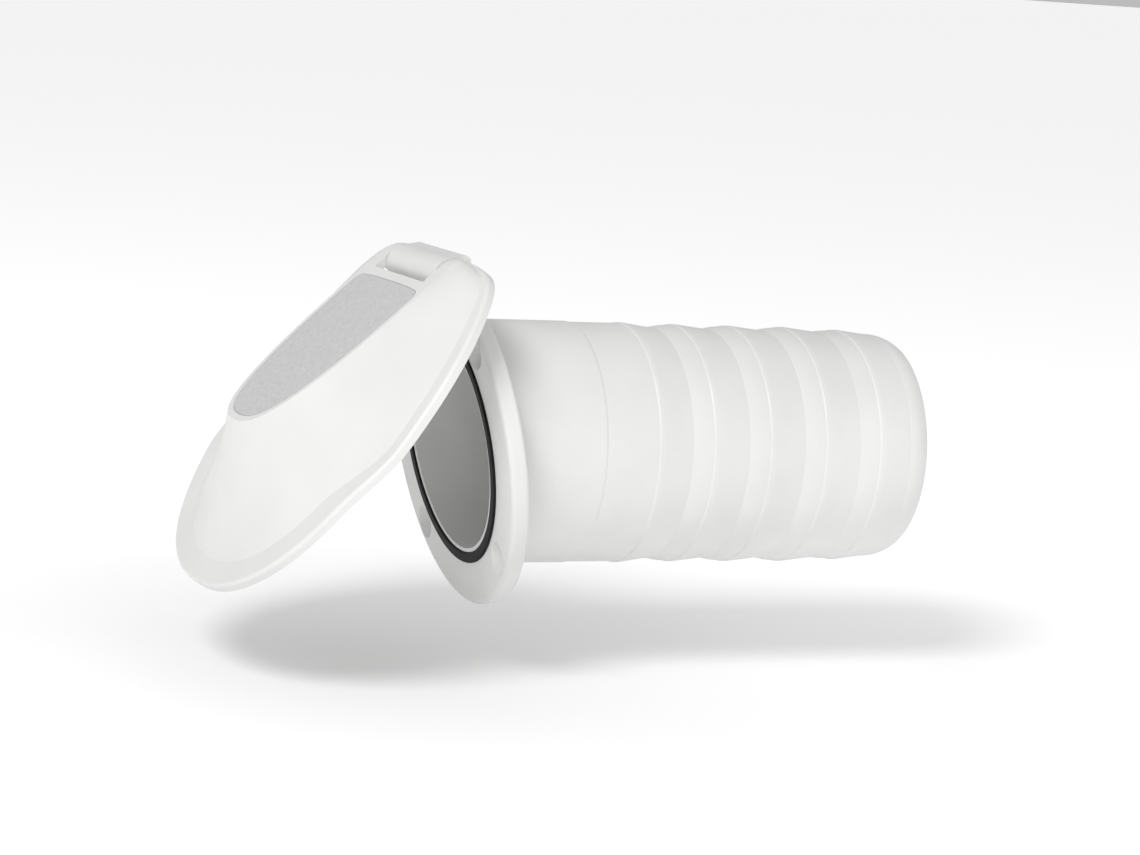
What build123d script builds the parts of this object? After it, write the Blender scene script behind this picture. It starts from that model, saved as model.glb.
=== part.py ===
from build123d import *
import math
import os

os.makedirs("parts", exist_ok=True)

# ---- driving dimensions, mm ----
RAKE = 10.5            # the flange leans this far from square to the bore, top edge outboard
FLANGE_R = 53.5
FLANGE_T = 6.0
BORE_R = 34.5
HOSE_R = 39.0          # plain part of the tail, for 76 mm hose
SEAL_R_OUT = 39.8
SEAL_R_IN = 36.3
SEAL_DEPTH = 2.4
SEAL_PROUD = 0.7
SCREW_CIRCLE_R = 46.4
SCREW_HOLE_R = 2.6
SCREW_SINK_R = 5.3

PIN_R = 1.75
PIN_UP = 55.2          # pin axis above the bore axis, measured along the flange face
PIN_OUT = 0.5          # pin axis in front of the flange face
LUG_HALF = 21.9
LUG_R = 6.2
LUG_TOP = 6.0          # top of the lug above the pin, back to the hull face

OPEN_ANGLE = 45.3      # lid opening in the stored pose, 0 is shut
EAR_IN = 22.8
EAR_OUT = 29.0
CLIP_POCKET_R = 3.7
WALL = 2.4

# ---- hose tail stations along the bore, from the hull face ----
BEAD_1 = 31.4
BEAD_2 = 51.4
FIRST_CREST = 70.5
BARB_PITCH = 19.8
BARB_COUNT = 4
BARB_RISE = 8.0
VALLEY_R = 37.5
CREST_R = 38.5
BEAD_H = 0.28
BEAD_W = 1.2
TAIL_END = 147.4

rake = math.radians(RAKE)
NORMAL = Vector(math.cos(rake), 0, math.sin(rake))
UP_FACE = Vector(-math.sin(rake), 0, math.cos(rake))
FACE = Plane(origin=(-FLANGE_T / math.cos(rake), 0, 0), x_dir=UP_FACE, z_dir=NORMAL)
OUTWARD = Plane(origin=FACE.origin, x_dir=UP_FACE, z_dir=-NORMAL)
LUG_SIDE = Plane(origin=FACE.origin, x_dir=NORMAL, z_dir=(0, -1, 0))

PIN_AXIS = FACE.origin + UP_FACE * PIN_UP - NORMAL * PIN_OUT
tilt = math.radians(OPEN_ANGLE - RAKE)
ALONG = Vector(-math.sin(tilt), 0, -math.cos(tilt))
RISE = Vector(-math.cos(tilt), 0, math.sin(tilt))
LID = Plane(origin=PIN_AXIS, x_dir=ALONG, z_dir=RISE)
LID_SIDE = Plane(origin=PIN_AXIS, x_dir=ALONG, z_dir=(0, 1, 0))

# ---- lid, in its own frame: s runs from the pin to the tip, h is height over the pin ----
LID_BACK = -6.8
LID_CENTRE = 54.3
LID_TIP = 122.1
LID_HALF_WIDTH = 69.2
LID_POWER = 2.25
NOTCH_END = 7.0
FLARE = 3.8            # foot of the dome, this far inside the rim
BRIM_T = 3.1
BRIM_EDGE = 1.2
RIM_H = -0.4           # underside of the rim at the tip
RIM_DROP = 3.2         # rim by the hinge sits this far under the rim at the tip
RIM_BEND_LOW = 54.5
RIM_BEND_HIGH = 83.5
PANEL_START = 10.2
PANEL_START_H = 8.23
PANEL_SLOPE = 0.2265
PANEL_TIP = 72.4
PANEL_HALF = 27.8
PANEL_POWER = 2.7
SHOULDER = 2.2
INLAY_T = 0.8
INLAY_GAP = 0.15
NOSE_S = 0.7           # centre of the rounding over the hinge end
NOSE_R = 7.5
RIB_CENTRE = PIN_UP
OUTLINE_STEPS = 18
FAR = 150.0


def oval_points(back, corner, square, centre, tip, half_width, power, back_reach):
    """Points round a closed outline: an oval to the tip, a blunt end with rounded corners by the hinge."""
    points = []
    for i in range(2 * OUTLINE_STEPS):
        a = math.pi * i / OUTLINE_STEPS
        x = (tip + back) / 2 + (tip - back) / 2 * math.cos(a)
        reach = tip - centre if x > centre else back_reach
        y = half_width * max(1 - (abs(x - centre) / reach) ** power, 0) ** (1 / power)
        if x < corner:
            y *= max(1 - ((corner - x) / (corner - back)) ** square, 0) ** (1 / square)
        points.append((x, math.copysign(y, math.sin(a))))
    return points


def lid_section(height, slope):
    """Plane through the lid at a height over the pin, rising towards the tip."""
    b = math.atan(slope)
    x_dir = ALONG * math.cos(b) + RISE * math.sin(b)
    z_dir = RISE * math.cos(b) - ALONG * math.sin(b)
    return Plane(origin=PIN_AXIS + RISE * height, x_dir=x_dir, z_dir=z_dir)


# ---- fitting body ----
with BuildPart() as fitting_body:
    with BuildSketch(Plane.XZ):
        with BuildLine():
            Polyline((TAIL_END - 1.0, 0), (-20, 0), (-20, HOSE_R), (BEAD_1 - BEAD_W / 2, HOSE_R))
            Line((BEAD_1 - BEAD_W / 2, HOSE_R), (BEAD_1 + BEAD_W / 2, HOSE_R))
            Line((BEAD_1 + BEAD_W / 2, HOSE_R), (BEAD_1 + BEAD_W, HOSE_R - BEAD_H))
            Line((BEAD_1 + BEAD_W, HOSE_R - BEAD_H), (BEAD_2 - BEAD_W, HOSE_R - BEAD_H))
            Line((BEAD_2 - BEAD_W, HOSE_R - BEAD_H), (BEAD_2 - BEAD_W / 2, HOSE_R))
            Line((BEAD_2 - BEAD_W / 2, HOSE_R), (BEAD_2 + BEAD_W / 2, HOSE_R))
            last = (BEAD_2 + BEAD_W / 2, HOSE_R)
            for i in range(BARB_COUNT):
                crest_x = FIRST_CREST + i * BARB_PITCH
                crest_r = CREST_R if i < BARB_COUNT - 1 else CREST_R - 0.5
                valley = (crest_x - BARB_RISE, VALLEY_R)
                foot = (crest_x - BEAD_W, crest_r)
                middle = (crest_x - 0.62 * BARB_RISE, VALLEY_R + 0.72 * (crest_r - VALLEY_R))
                Line(last, valley)
                ThreePointArc(valley, middle, foot)
                Line(foot, (crest_x - BEAD_W / 2, crest_r + BEAD_H))
                Line((crest_x - BEAD_W / 2, crest_r + BEAD_H), (crest_x + BEAD_W / 2, crest_r + BEAD_H))
                last = (crest_x + BEAD_W / 2, crest_r + BEAD_H)
            shoulder = (TAIL_END - 7.0, VALLEY_R - 0.4)
            Line(last, shoulder)
            ThreePointArc(shoulder, (TAIL_END - 2.0, VALLEY_R - 1.25), (TAIL_END, VALLEY_R - 2.4))
            Line((TAIL_END, VALLEY_R - 2.4), (TAIL_END - 1.0, 0))
        make_face()
    revolve(axis=Axis.X)
    split(bisect_by=FACE, keep=Keep.TOP)
    with BuildSketch(FACE):
        Circle(FLANGE_R)
    extrude(amount=FLANGE_T)
    fillet(fitting_body.edges().filter_by(GeomType.CIRCLE).filter_by(lambda e: e.radius > FLANGE_R - 0.1), 1.6)
    with BuildSketch(LUG_SIDE):
        with Locations((-PIN_OUT, PIN_UP)):
            Circle(LUG_R)
        with BuildLine():
            Polyline(
                (0.0, PIN_UP - 9.5),
                (FLANGE_T, PIN_UP - 9.5),
                (FLANGE_T, PIN_UP + LUG_TOP - 1.0),
                (FLANGE_T - 1.0, PIN_UP + LUG_TOP),
                (-PIN_OUT, PIN_UP + LUG_TOP),
                (-PIN_OUT - 5.4, PIN_UP),
                (-PIN_OUT - 4.5, PIN_UP - 4.3),
                close=True,
            )
        make_face()
    extrude(amount=LUG_HALF, both=True)
    with BuildSketch(Plane.YZ.offset(-30)):
        Circle(BORE_R)
    extrude(amount=TAIL_END + 60, mode=Mode.SUBTRACT)
    with BuildSketch(FACE):
        Circle(SEAL_R_OUT + 0.05)
        Circle(SEAL_R_IN - 0.05, mode=Mode.SUBTRACT)
    extrude(amount=SEAL_DEPTH + 0.05, mode=Mode.SUBTRACT)
    with Locations(OUTWARD):
        with PolarLocations(SCREW_CIRCLE_R, 4, start_angle=45):
            CounterSinkHole(SCREW_HOLE_R, SCREW_SINK_R, depth=FLANGE_T + 2)
    with BuildSketch(LUG_SIDE.offset(-40)):
        with Locations((-PIN_OUT, PIN_UP)):
            Circle(PIN_R)
    extrude(amount=80, mode=Mode.SUBTRACT)
fitting_body.part.label = "fitting_body"

# ---- face seal ----
with BuildPart() as face_seal:
    with BuildSketch(FACE.offset(-SEAL_PROUD)):
        Circle(SEAL_R_OUT)
        Circle(SEAL_R_IN, mode=Mode.SUBTRACT)
    extrude(amount=SEAL_DEPTH + SEAL_PROUD)
    front = face_seal.faces().sort_by(Axis(origin=(0, 0, 0), direction=tuple(NORMAL)))[0]
    fillet(front.edges(), 0.6)
face_seal.part.label = "face_seal"

# ---- lid shapes, built up before the lid itself ----
PANEL_AT_PIN = PANEL_START_H - PANEL_SLOPE * PANEL_START
PANEL_PLANE_X = 1 / math.cos(math.atan(PANEL_SLOPE))
MOUTH_DROP = 2.8
NOSE_H = PANEL_AT_PIN + PANEL_SLOPE * NOSE_S - NOSE_R * PANEL_PLANE_X


def outline_on(plane, back, corner, square, centre, tip, half_width, power, back_reach):
    """Outline points on a sloping lid section."""
    stretch = 1 / plane.x_dir.dot(ALONG)
    points = oval_points(back, corner, square, centre, tip, half_width, power, back_reach)
    return [(x * stretch, y) for x, y in points]


def dome(inset, drop, skirt):
    """Domed body of the lid, shrunk by inset, lowered by drop and carried down by skirt."""
    base = lid_section(-3.2 - drop, 0.03)
    middle = lid_section(4.2 - drop, 0.063)
    top = lid_section(PANEL_AT_PIN - drop, PANEL_SLOPE)
    base_points = outline_on(base, LID_BACK + 0.8 + inset, 5.0, 5.0, LID_CENTRE, LID_TIP - 1.8 - inset,
                             LID_HALF_WIDTH - FLARE - inset, LID_POWER, 74.5)
    middle_points = outline_on(middle, -6.4 + inset, 9.0, 4.0, 41.5, 96.0 - inset, 46.5 - inset, 2.35, 61.0)
    top_points = outline_on(top, -5.0 + inset, 12.0, 3.0, PANEL_START, PANEL_TIP + SHOULDER - inset,
                            PANEL_HALF + SHOULDER - inset, PANEL_POWER, 40.0)
    with BuildPart() as body:
        for plane, points in ((base, base_points), (middle, middle_points), (top, top_points)):
            with BuildSketch(plane):
                with BuildLine():
                    Spline(*points, periodic=True)
                make_face()
        loft()
        if skirt:
            with BuildSketch(base):
                with BuildLine():
                    Spline(*base_points, periodic=True)
                make_face()
            extrude(amount=-skirt)
    return body.part


def nose_points(radius):
    """Start, middle and end of the rounding over the hinge end, rim side first."""
    points = []
    for degrees in (200.0, 150.0, 90.0 + math.degrees(math.atan(PANEL_SLOPE))):
        a = math.radians(degrees)
        points.append((NOSE_S + radius * math.cos(a), NOSE_H + radius * math.sin(a)))
    return points


def inlay_outline(gap):
    """Outline of the inlay in the panel plane, drawn in by gap all round."""
    points = oval_points(PANEL_START + gap, PANEL_START + 6.0, 5.0, PANEL_START, PANEL_TIP - gap,
                         PANEL_HALF - gap, PANEL_POWER, 40.0)
    return [(x * PANEL_PLANE_X, y) for x, y in points]


def side_mask(radius):
    """Everything under the panel plane and behind the rounding at the hinge end."""
    start, middle, end = nose_points(radius)
    lift = end[1] - PANEL_SLOPE * end[0]
    with BuildPart() as mask:
        with BuildSketch(LID_SIDE):
            with BuildLine():
                ThreePointArc(start, middle, end)
                Polyline(end, (FAR, lift + PANEL_SLOPE * FAR), (FAR, -20), (start[0], -20), start)
            make_face()
        extrude(amount=FAR, both=True)
    return mask.part


def rim_band(thickness):
    """Slab that follows the bent underside of the rim, as thick as asked."""
    low = RIM_H - RIM_DROP
    with BuildPart() as band:
        with BuildSketch(LID_SIDE):
            with BuildLine():
                Line((-FAR, low), (RIM_BEND_LOW, low))
                Spline((RIM_BEND_LOW, low), (RIM_BEND_HIGH, RIM_H), tangents=((1, 0), (1, 0)))
                Polyline((RIM_BEND_HIGH, RIM_H), (FAR, RIM_H), (FAR, RIM_H + thickness),
                         (RIM_BEND_HIGH, RIM_H + thickness))
                Spline((RIM_BEND_HIGH, RIM_H + thickness), (RIM_BEND_LOW, low + thickness),
                       tangents=((-1, 0), (-1, 0)))
                Polyline((RIM_BEND_LOW, low + thickness), (-FAR, low + thickness), (-FAR, low))
            make_face()
        extrude(amount=FAR, both=True)
    return band.part


with BuildPart() as plan_block:
    plan_points = oval_points(LID_BACK, 5.0, 5.0, LID_CENTRE, LID_TIP, LID_HALF_WIDTH, LID_POWER, 73.0)
    with BuildSketch(LID.offset(RIM_H - RIM_DROP)):
        with BuildLine():
            Spline(*plan_points, periodic=True)
        make_face()
    extrude(amount=40)

with BuildPart() as brim:
    add(plan_block.part)
    add(rim_band(BRIM_T), mode=Mode.INTERSECT)
    rim_faces = brim.faces().filter_by(lambda f: f.normal_at().dot(RISE) > 0.8)
    fillet([e for f in rim_faces for e in f.outer_wire().edges() if e.length > 200], BRIM_EDGE)

with BuildPart() as lid_blank:
    add(dome(0, 0, 10.0))
    add(rim_band(60.0), mode=Mode.INTERSECT)
    add(brim.part)
    add(side_mask(NOSE_R), mode=Mode.INTERSECT)

with BuildPart() as hollow:
    add(dome(WALL, MOUTH_DROP, 10.0))
    add(side_mask(NOSE_R - 2.0), mode=Mode.INTERSECT)

with BuildPart() as pressure_rib:
    with BuildSketch(LID.offset(0.5)):
        with Locations((RIB_CENTRE, 0)):
            Circle(SEAL_R_OUT - 0.5)
            Circle(SEAL_R_IN + 0.4, mode=Mode.SUBTRACT)
    extrude(amount=40)
    add(lid_blank.part, mode=Mode.INTERSECT)

with BuildPart() as ears:
    for side in (-1, 1):
        with BuildSketch(LID_SIDE.offset(side * EAR_IN)):
            with Locations((-2.0, 0)):
                Rectangle(13.0, 30.0)
        extrude(amount=side * (EAR_OUT - EAR_IN))
    add(lid_blank.part, mode=Mode.INTERSECT)
    for side in (-1, 1):
        with BuildSketch(LID_SIDE.offset(side * EAR_IN)):
            Circle(4.6)
        extrude(amount=side * (EAR_OUT - EAR_IN))

# ---- lid ----
with BuildPart() as lid_cover:
    add(lid_blank.part)
    add(hollow.part, mode=Mode.SUBTRACT)
    add(pressure_rib.part)
    with BuildSketch(LID.offset(-20)):
        with Locations((NOTCH_END - 20.0, 0)):
            Rectangle(40.0, 2 * EAR_IN)
    extrude(amount=60, mode=Mode.SUBTRACT)
    add(ears.part)
    with BuildSketch(LID_SIDE):
        Circle(PIN_R + 0.05)
    extrude(amount=EAR_OUT + 0.5, both=True, mode=Mode.SUBTRACT)
    for side in (-1, 1):
        with BuildSketch(LID_SIDE.offset(side * EAR_OUT)):
            Circle(CLIP_POCKET_R)
        extrude(amount=side * 3.0, mode=Mode.SUBTRACT)
    with BuildSketch(lid_section(PANEL_AT_PIN, PANEL_SLOPE)):
        with BuildLine():
            Spline(*inlay_outline(0), periodic=True)
        make_face()
    extrude(amount=-INLAY_T, mode=Mode.SUBTRACT)
lid_cover.part.label = "lid_cover"

# ---- inlay plate ----
with BuildPart() as lid_inlay:
    with BuildSketch(lid_section(PANEL_AT_PIN, PANEL_SLOPE)):
        with BuildLine():
            Spline(*inlay_outline(INLAY_GAP), periodic=True)
        make_face()
    extrude(amount=-INLAY_T)
lid_inlay.part.label = "lid_inlay"

# ---- hinge hardware ----
with BuildPart() as hinge_pin:
    with BuildSketch(LID_SIDE):
        Circle(PIN_R)
    extrude(amount=EAR_OUT + 1.6, both=True)
    chamfer(hinge_pin.edges().filter_by(GeomType.CIRCLE), 0.3)
hinge_pin.part.label = "hinge_pin"


def ring_on_pin(start, thickness, outer_r, inner_r):
    """Flat ring around the pin, its inner face at start along Y."""
    with BuildPart() as ring:
        with BuildSketch(LID_SIDE.offset(start)):
            Circle(outer_r)
            Circle(inner_r, mode=Mode.SUBTRACT)
        extrude(amount=math.copysign(thickness, start))
    return ring.part


WASHER_T = EAR_IN - LUG_HALF - 0.1
friction_washer_left = ring_on_pin(-(LUG_HALF + 0.03), WASHER_T, 4.4, PIN_R + 0.05)
friction_washer_right = ring_on_pin(LUG_HALF + 0.03, WASHER_T, 4.4, PIN_R + 0.05)
pin_clip_left = ring_on_pin(-(EAR_OUT + 0.3), 0.8, 2.9, PIN_R)
pin_clip_right = ring_on_pin(EAR_OUT + 0.3, 0.8, 2.9, PIN_R)

named = {
    "fitting_body": fitting_body.part,
    "face_seal": face_seal.part,
    "lid_cover": lid_cover.part,
    "lid_inlay": lid_inlay.part,
    "hinge_pin": hinge_pin.part,
    "friction_washer_left": friction_washer_left,
    "friction_washer_right": friction_washer_right,
    "pin_clip_left": pin_clip_left,
    "pin_clip_right": pin_clip_right,
}
for name, part in named.items():
    part.label = name
    export_step(part, f"parts/{name}.step")
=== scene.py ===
import math

import bpy
from mathutils import Matrix, Vector


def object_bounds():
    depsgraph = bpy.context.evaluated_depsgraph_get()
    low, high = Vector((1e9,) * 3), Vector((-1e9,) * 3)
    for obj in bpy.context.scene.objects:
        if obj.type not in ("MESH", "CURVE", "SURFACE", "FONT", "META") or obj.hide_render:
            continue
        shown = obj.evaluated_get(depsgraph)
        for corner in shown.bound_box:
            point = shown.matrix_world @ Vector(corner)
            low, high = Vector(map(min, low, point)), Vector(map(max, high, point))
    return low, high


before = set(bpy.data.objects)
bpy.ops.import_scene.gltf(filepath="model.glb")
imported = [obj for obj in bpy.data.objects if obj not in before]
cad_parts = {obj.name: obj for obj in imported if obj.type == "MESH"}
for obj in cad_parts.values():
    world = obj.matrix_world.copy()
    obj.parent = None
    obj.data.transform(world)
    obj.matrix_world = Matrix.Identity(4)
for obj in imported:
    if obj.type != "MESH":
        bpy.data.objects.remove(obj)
CAD_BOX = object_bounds()

# ---- camera: angles in degrees, place in metres ----
IMAGE_W = 1140
FOCAL_PX = 3500.0
SENSOR_MM = 36.0
CAM_AZIMUTH = 67.07
CAM_ELEVATION = 7.64
CAM_ROLL = 3.96
CAM_PLACE = (-0.40134, -1.03221, 0.15491)
CLIP_NEAR = 0.05
CLIP_FAR = 200

# ---- stage: the paper glows less close to the part, so its underside stays shaded ----
FLOOR_HALF = 60.0
FLOOR_GAP = 0.021  # the shut lid hangs below the flange and has to clear the floor
GLOW_NEAR = 0.1
GLOW_FAR = 0.42
GLOW_START = 0.08
GLOW_FULL = 0.35

# ---- lights: places are metres back from, across and above LOOK_AT, as the camera sees them ----
LOOK_AT = Vector((0.03, 0, 0))
KEY_PLACE = (1.5, -0.5, 1.1)
KEY_SIZE = 0.7
KEY_WATTS = 19
FILL_PLACE = (1.0, 1.5, 0.2)
FILL_SIZE = 1.2
FILL_WATTS = 3
WORLD_STRENGTH = 0.5
WHITE = (1, 1, 1, 1)

# ---- colours: each surface is clouded between two tones ----
LID_TONES = ((0.78, 0.78, 0.773), (0.745, 0.745, 0.738))
# the body's tones sit a little darker than the lid's: painted shade for the flange face and the bore,
# laid over the white moulding tone
BODY_TONES_WITH_PAINTED_SHADE = ((0.77, 0.77, 0.763), (0.73, 0.73, 0.723))
WASHER_TONES = ((0.72, 0.72, 0.70), (0.66, 0.66, 0.64))
INLAY_TONES = ((0.50, 0.50, 0.505), (0.62, 0.62, 0.62))
SEAL_TONES = ((0.006, 0.006, 0.006), (0.016, 0.016, 0.016))
STEEL_TONES = ((0.50, 0.50, 0.51), (0.66, 0.66, 0.66))
PAPER_TONES = ((0.93, 0.93, 0.93), (0.95, 0.95, 0.95))

# ---- roughness ----
LID_ROUGHNESS = 0.38
BODY_ROUGHNESS = 0.42
WASHER_ROUGHNESS = 0.5
PAPER_ROUGHNESS = 0.9


# ---- camera ----
def add_camera():
    """Adds the camera and returns its right, top and forward directions."""
    az = math.radians(CAM_AZIMUTH)
    el = math.radians(CAM_ELEVATION)
    roll = math.radians(CAM_ROLL)
    ahead = Vector((math.cos(az) * math.cos(el), math.sin(az) * math.cos(el), -math.sin(el)))
    side = Vector((math.sin(az), -math.cos(az), 0))
    up = side.cross(ahead)
    right = side * math.cos(roll) + up * math.sin(roll)
    top = up * math.cos(roll) - side * math.sin(roll)
    data = bpy.data.cameras.new("camera")
    data.sensor_width = SENSOR_MM
    data.lens = FOCAL_PX / IMAGE_W * SENSOR_MM
    data.clip_start = CLIP_NEAR
    data.clip_end = CLIP_FAR
    cam = bpy.data.objects.new("camera", data)
    turn = Matrix((right, top, -ahead)).transposed()
    cam.matrix_world = Matrix.Translation(CAM_PLACE) @ turn.to_4x4()
    bpy.context.scene.collection.objects.link(cam)
    bpy.context.scene.camera = cam
    return right, top, ahead


# ---- material helpers ----
def new_material(name):
    mat = bpy.data.materials.new(name)
    mat.use_nodes = True
    return mat, mat.node_tree.nodes, mat.node_tree.links, mat.node_tree.nodes["Principled BSDF"]


def object_noise(nodes, links, scale, detail, rough=0.5):
    """Noise fixed to the piece, so it stays put when the lid swings; gives values from 0 to 1."""
    coord = nodes.new("ShaderNodeTexCoord")
    noise = nodes.new("ShaderNodeTexNoise")
    noise.inputs["Scale"].default_value = scale
    noise.inputs["Detail"].default_value = detail
    noise.inputs["Roughness"].default_value = rough
    links.new(coord.outputs["Object"], noise.inputs["Vector"])
    return noise.outputs["Fac"]


def ramp(nodes, links, source, low, high, start=0.0, end=1.0):
    """Maps source from the span start..end onto low..high."""
    node = nodes.new("ShaderNodeMapRange")
    node.inputs["From Min"].default_value = start
    node.inputs["From Max"].default_value = end
    node.inputs["To Min"].default_value = low
    node.inputs["To Max"].default_value = high
    links.new(source, node.inputs["Value"])
    return node.outputs["Result"]


def tone_mix(nodes, links, factor, tones):
    node = nodes.new("ShaderNodeMix")
    node.data_type = "RGBA"
    node.inputs["A"].default_value = (*tones[0], 1)
    node.inputs["B"].default_value = (*tones[1], 1)
    links.new(factor, node.inputs["Factor"])
    return node.outputs["Result"]


def bump(nodes, links, height, strength, distance, below=None):
    """A bump normal, laid over the normal below when one is given."""
    node = nodes.new("ShaderNodeBump")
    node.inputs["Strength"].default_value = strength
    node.inputs["Distance"].default_value = distance
    links.new(height, node.inputs["Height"])
    if below is not None:
        links.new(below, node.inputs["Normal"])
    return node.outputs["Normal"]


# ---- materials ----
def moulded_plastic(name, tones, roughness):
    """Satin moulding: cloudy tone, handling smears, a slow waviness and fine orange peel."""
    mat, nodes, links, shader = new_material(name)
    cloud = object_noise(nodes, links, scale=28.0, detail=4.0)
    cloud_mask = ramp(nodes, links, cloud, low=0, high=1, start=0.35, end=0.65)
    links.new(tone_mix(nodes, links, cloud_mask, tones), shader.inputs["Base Color"])
    smear = object_noise(nodes, links, scale=90.0, detail=6.0, rough=0.6)
    sheen = ramp(nodes, links, smear, low=roughness - 0.06, high=roughness + 0.08, start=0.3, end=0.7)
    links.new(sheen, shader.inputs["Roughness"])
    peel = object_noise(nodes, links, scale=900.0, detail=3.0)
    wave = object_noise(nodes, links, scale=60.0, detail=2.0)
    wavy = bump(nodes, links, wave, strength=0.08, distance=0.0006)
    peeled = bump(nodes, links, peel, strength=0.12, distance=0.00006, below=wavy)
    links.new(peeled, shader.inputs["Normal"])
    shader.inputs["IOR"].default_value = 1.5
    shader.inputs["Subsurface Weight"].default_value = 0.06
    shader.inputs["Subsurface Radius"].default_value = (0.004, 0.004, 0.004)
    return mat


def inlay_plastic():
    """Grey panel with a fine matt grain."""
    mat, nodes, links, shader = new_material("inlay_matt")
    grain = object_noise(nodes, links, scale=700.0, detail=5.0, rough=0.65)
    grain_mask = ramp(nodes, links, grain, low=0, high=1, start=0.3, end=0.7)
    links.new(tone_mix(nodes, links, grain_mask, INLAY_TONES), shader.inputs["Base Color"])
    links.new(ramp(nodes, links, grain, low=0.62, high=0.85), shader.inputs["Roughness"])
    links.new(bump(nodes, links, grain, strength=0.5, distance=0.00025), shader.inputs["Normal"])
    return mat


def seal_rubber():
    """Black rubber with a little dust and hardly any shine."""
    mat, nodes, links, shader = new_material("seal_epdm")
    dust = object_noise(nodes, links, scale=240.0, detail=5.0, rough=0.6)
    dust_mask = ramp(nodes, links, dust, low=0, high=1, start=0.45, end=0.8)
    links.new(tone_mix(nodes, links, dust_mask, SEAL_TONES), shader.inputs["Base Color"])
    links.new(ramp(nodes, links, dust, low=0.45, high=0.7), shader.inputs["Roughness"])
    links.new(bump(nodes, links, dust, strength=0.25, distance=0.0001), shader.inputs["Normal"])
    shader.inputs["Specular IOR Level"].default_value = 0.15
    return mat


def stainless():
    """Drawn stainless steel for the pin and its clips."""
    mat, nodes, links, shader = new_material("stainless_drawn")
    grain = object_noise(nodes, links, scale=500.0, detail=6.0, rough=0.7)
    links.new(tone_mix(nodes, links, grain, STEEL_TONES), shader.inputs["Base Color"])
    shader.inputs["Metallic"].default_value = 1.0
    links.new(ramp(nodes, links, grain, low=0.22, high=0.42), shader.inputs["Roughness"])
    links.new(bump(nodes, links, grain, strength=0.2, distance=0.00004), shader.inputs["Normal"])
    return mat


def floor_paper():
    """White paper whose glow grows with the distance from the part."""
    mat, nodes, links, shader = new_material("floor_paper")
    fibre = object_noise(nodes, links, scale=12.0, detail=3.0)
    links.new(tone_mix(nodes, links, fibre, PAPER_TONES), shader.inputs["Base Color"])
    shader.inputs["Roughness"].default_value = PAPER_ROUGHNESS
    shader.inputs["Emission Color"].default_value = WHITE
    coord = nodes.new("ShaderNodeTexCoord")
    reach = nodes.new("ShaderNodeVectorMath")
    reach.operation = "LENGTH"
    links.new(coord.outputs["Object"], reach.inputs[0])
    glow = ramp(nodes, links, reach.outputs["Value"], GLOW_NEAR, GLOW_FAR, GLOW_START, GLOW_FULL)
    links.new(glow, shader.inputs["Emission Strength"])
    return mat


def dress(names, material):
    for name in names:
        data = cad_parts[name].data
        data.materials.clear()
        data.materials.append(material)


# ---- stage ----
def add_floor(height):
    h = FLOOR_HALF
    mesh = bpy.data.meshes.new("floor")
    corners = [(-h, -h, height), (h, -h, height), (h, h, height), (-h, h, height)]
    mesh.from_pydata(corners, [], [(0, 1, 2, 3)])
    floor = bpy.data.objects.new("floor", mesh)
    bpy.context.scene.collection.objects.link(floor)
    mesh.materials.append(floor_paper())


def add_lamp(name, place, size, watts):
    """Adds a round soft light that faces LOOK_AT."""
    back, across, above = place
    offset = right * across + top * above - ahead * back
    data = bpy.data.lights.new(name, "AREA")
    data.shape = "DISK"
    data.size = size
    data.energy = watts
    lamp = bpy.data.objects.new(name, data)
    lamp.location = LOOK_AT + offset
    lamp.rotation_euler = (-offset).to_track_quat("-Z", "Y").to_euler()
    bpy.context.scene.collection.objects.link(lamp)


def add_world():
    world = bpy.data.worlds.new("studio")
    world.use_nodes = True
    background = world.node_tree.nodes["Background"]
    background.inputs["Color"].default_value = WHITE
    background.inputs["Strength"].default_value = WORLD_STRENGTH
    bpy.context.scene.world = world


right, top, ahead = add_camera()
dress(["lid_cover"], moulded_plastic("lid_white", LID_TONES, LID_ROUGHNESS))
dress(["fitting_body"], moulded_plastic("body_white", BODY_TONES_WITH_PAINTED_SHADE, BODY_ROUGHNESS))
dress(["lid_inlay"], inlay_plastic())
dress(["face_seal"], seal_rubber())
dress(["hinge_pin", "pin_clip_left", "pin_clip_right"], stainless())
dress(["friction_washer_left", "friction_washer_right"],
      moulded_plastic("washer_nylon", WASHER_TONES, WASHER_ROUGHNESS))

add_floor(CAD_BOX[0][2] - FLOOR_GAP)
add_lamp("key", KEY_PLACE, KEY_SIZE, KEY_WATTS)
add_lamp("fill", FILL_PLACE, FILL_SIZE, FILL_WATTS)
add_world()
bpy.context.scene.view_settings.view_transform = "Standard"
